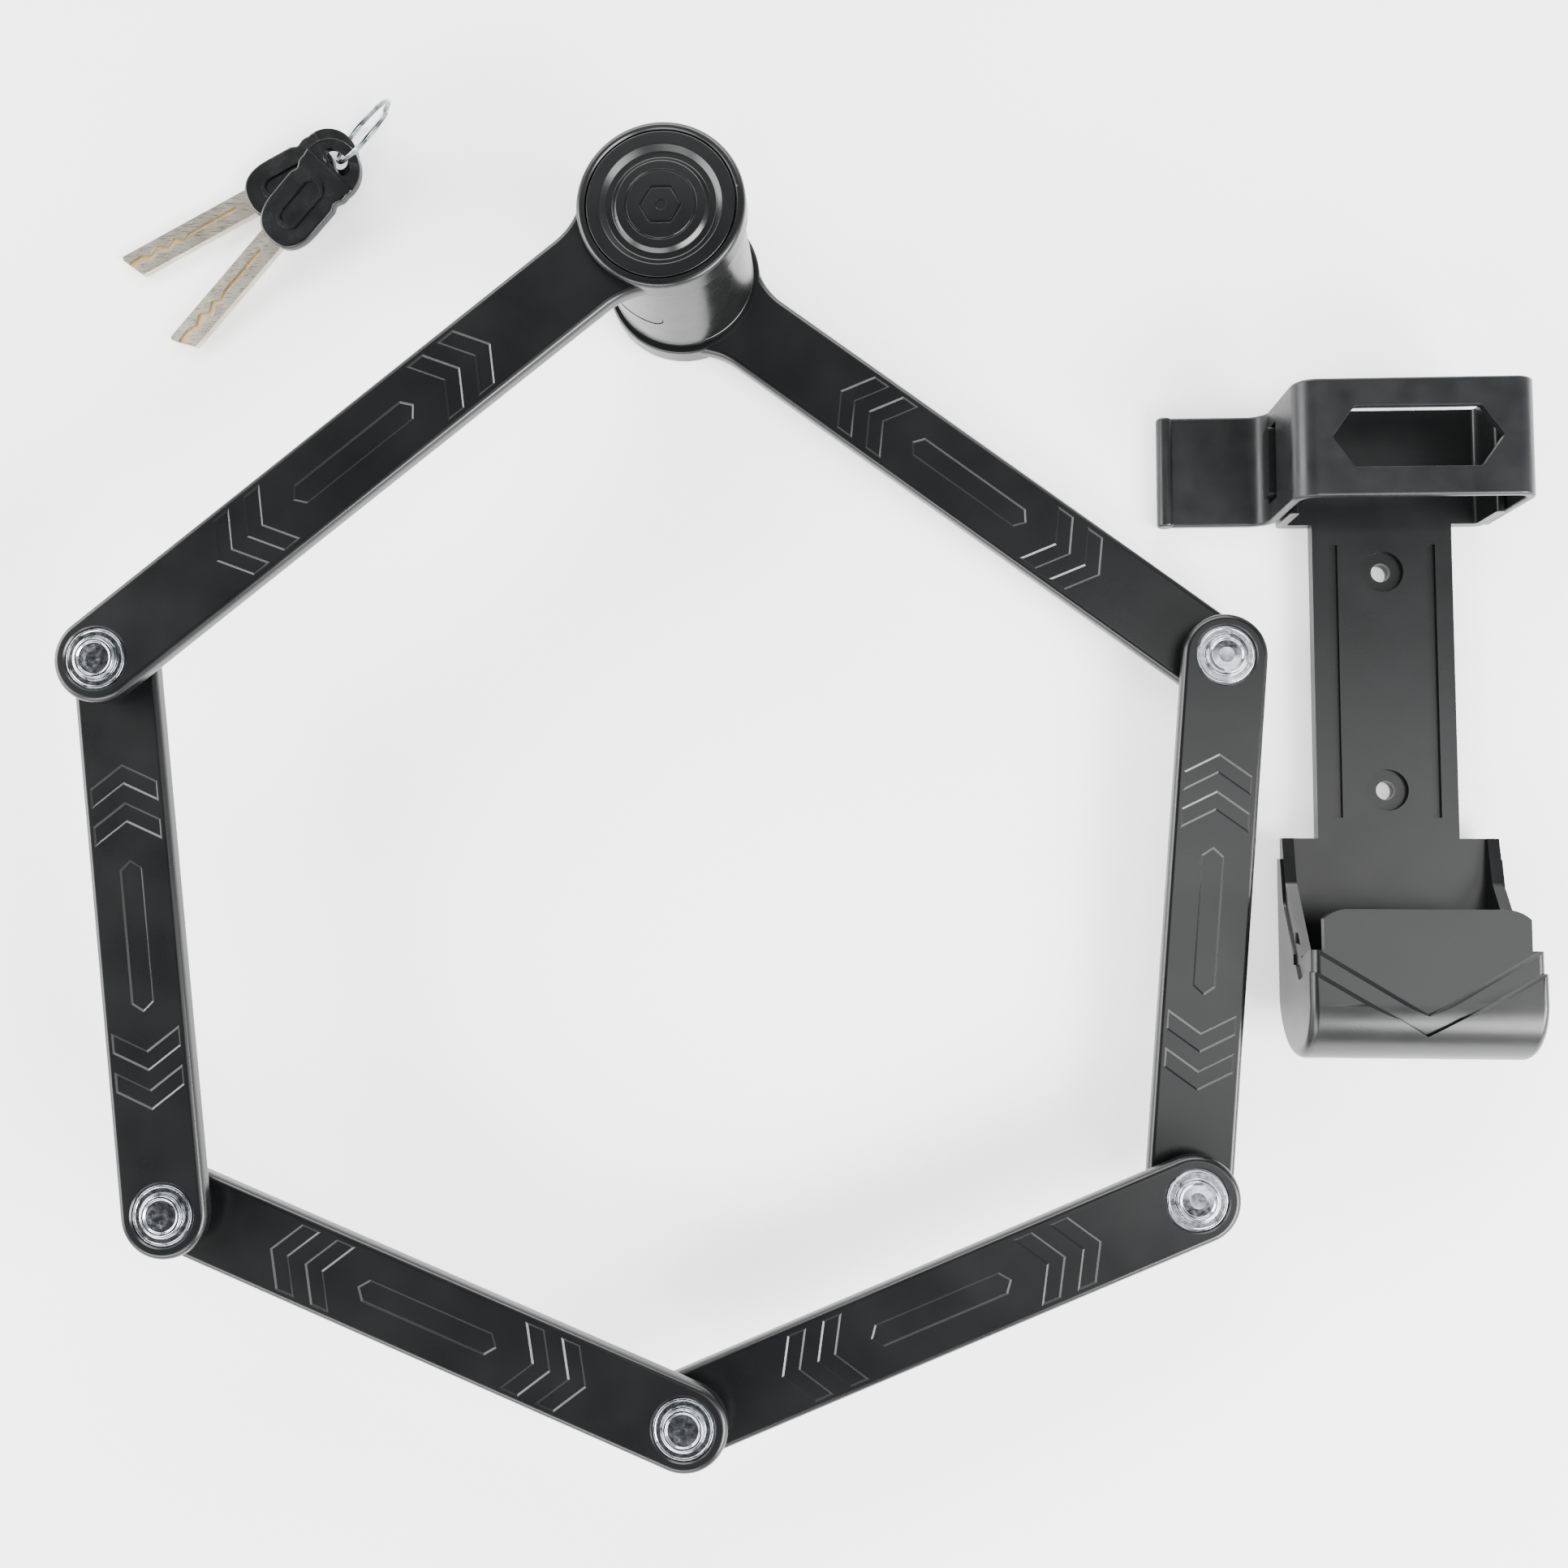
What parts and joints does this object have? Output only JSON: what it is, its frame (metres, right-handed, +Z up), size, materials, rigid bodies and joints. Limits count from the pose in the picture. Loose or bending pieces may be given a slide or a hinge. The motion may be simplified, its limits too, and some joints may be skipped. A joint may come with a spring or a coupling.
{
  "type": "folding bike lock",
  "caption": "Folding bike lock lying open as a closed ring of jacketed steel links, with its barrel, an empty frame carrier and keys on a ring.",
  "frame": {"origin": "centre of the bounding box at floor level; the barrel's rear face and the carrier's pads lie on z = 0", "axes": "+Z up, along the barrel and rivet axes; +Y from the far link towards the barrel; +X from the loop towards the carrier"},
  "size_m": [0.4178, 0.401, 0.058],
  "materials": {
    "moulded_abs": "satin black moulded jacket",
    "gloss_abs": "glossy black",
    "carrier_nylon": "grained black nylon",
    "strap_rubber": "matte black rubber",
    "hardened_steel": "hardened steel",
    "zinc_plate": "bright zinc plate",
    "nickel_silver": "milled nickel silver",
    "brass": "machined brass"
  },
  "bodies": {
    "lock_body": {"link_6_core": "hardened_steel", "link_6_jacket": "moulded_abs", "barrel_cover": "gloss_abs", "badge_plate": "moulded_abs", "barrel_sleeve": "hardened_steel", "front_plate": "hardened_steel", "rear_cover": "moulded_abs", "cylinder_shell": "brass", "sidebar": "hardened_steel", "bolt_spring": "hardened_steel", "washer_5_lower": "zinc_plate", "spacer_5": "hardened_steel"},
    "link_1": {"link_1_core": "hardened_steel", "link_1_jacket": "moulded_abs", "rivet_1": "zinc_plate", "washer_1_upper": "zinc_plate", "eye_socket": "hardened_steel", "front_cap": "moulded_abs"},
    "key_cylinder": {"key_plug": "zinc_plate", "lock_disc_1": "brass", "lock_disc_2": "brass", "lock_disc_3": "brass", "lock_disc_4": "brass", "bolt_driver": "hardened_steel"},
    "bolt": {"locking_bolt": "hardened_steel"},
    "carrier": {"carrier_bracket": "carrier_nylon", "frame_pad_lower": "strap_rubber", "frame_pad_upper": "strap_rubber", "strap_band": "strap_rubber"},
    "tongue": {"strap_tongue": "strap_rubber"},
    "key_ring": {"split_ring": "zinc_plate"},
    "key_a": {"key_a_blade": "nickel_silver", "key_a_bow": "moulded_abs"},
    "key_b": {"key_b_blade": "nickel_silver", "key_b_bow": "moulded_abs"},
    "link_5": {"link_5_core": "hardened_steel", "link_5_jacket": "moulded_abs", "rivet_5": "zinc_plate", "washer_5_upper": "zinc_plate", "washer_4_lower": "zinc_plate", "spacer_4": "hardened_steel"},
    "link_4": {"link_4_core": "hardened_steel", "link_4_jacket": "moulded_abs", "rivet_4": "zinc_plate", "washer_4_upper": "zinc_plate", "washer_3_lower": "zinc_plate", "spacer_3": "hardened_steel"},
    "link_3": {"link_3_core": "hardened_steel", "link_3_jacket": "moulded_abs", "rivet_3": "zinc_plate", "washer_3_upper": "zinc_plate", "washer_2_lower": "zinc_plate", "spacer_2": "hardened_steel"},
    "link_2": {"link_2_core": "hardened_steel", "link_2_jacket": "moulded_abs", "rivet_2": "zinc_plate", "washer_2_upper": "zinc_plate", "washer_1_lower": "zinc_plate", "spacer_1": "hardened_steel"}
  },
  "joints": [
    {"name": "fold", "type": "hinge", "parent": "lock_body", "child": "link_5", "pos_m": [0.12832, 0.02384, 0.01], "axis": [0, 0, -1], "range_deg": [0, 121.9]},
    {"name": "fold_4", "type": "hinge", "parent": "link_5", "child": "link_4", "pos_m": [0.11587, -0.12765, 0.0195], "axis": [0, 0, -1], "range_deg": [-241.72, 0]},
    {"name": "fold_3", "type": "hinge", "parent": "link_4", "child": "link_3", "pos_m": [-0.02342, -0.1885, 0.029], "axis": [0, 0, -1], "range_deg": [0, 134.72]},
    {"name": "fold_2", "type": "hinge", "parent": "link_3", "child": "link_2", "pos_m": [-0.16465, -0.1323, 0.0385], "axis": [0, 0, -1], "range_deg": [-241.06, 0]},
    {"name": "fold_1", "type": "hinge", "parent": "link_2", "child": "link_1", "pos_m": [-0.18386, 0.01848, 0.048], "axis": [0, 0, -1], "range_deg": [0, 121.33]},
    {"name": "key_turn", "type": "hinge", "parent": "lock_body", "child": "key_cylinder", "pos_m": [-0.02983, 0.14129, 0.012], "axis": [0, 0, -1], "range_deg": [0, 90]},
    {"name": "bolt_slide", "type": "slide", "parent": "lock_body", "child": "bolt", "axis": [0, 0, 1], "range_m": [0, 0.0052], "deforming": ["bolt_spring"]},
    {"name": "carrier_lift", "type": "slide", "parent": "lock_body", "child": "carrier", "axis": [0, 0, 1], "range_m": [0, 0.15]},
    {"name": "strap_tongue", "type": "hinge", "parent": "carrier", "child": "tongue", "pos_m": [0.14477, 0.08084, 0.02905], "axis": [0, 1, 0], "range_deg": [0, 95]},
    {"name": "key_ring_lift", "type": "slide", "parent": "lock_body", "child": "key_ring", "axis": [0, 0, 1], "range_m": [0, 0.15]},
    {"name": "key_a_swing", "type": "hinge", "parent": "key_ring", "child": "key_a", "pos_m": [-0.139, 0.18513, 0.004], "axis": [0, 0, 1], "range_deg": [-30, 0]},
    {"name": "key_b_swing", "type": "hinge", "parent": "key_ring", "child": "key_b", "pos_m": [-0.13666, 0.17965, 0.0102], "axis": [0, 0, 1], "range_deg": [0, 30]}
  ],
  "couplings": [
    {"joint": "fold_4", "follows": "fold", "ratio": -1.9828},
    {"joint": "fold_3", "follows": "fold", "ratio": 1.105},
    {"joint": "fold_2", "follows": "fold", "ratio": -1.9773},
    {"joint": "fold_1", "follows": "fold", "ratio": 0.99512},
    {"joint": "key_turn", "follows": "bolt_slide", "rad_per_m": 302.07}
  ]
}
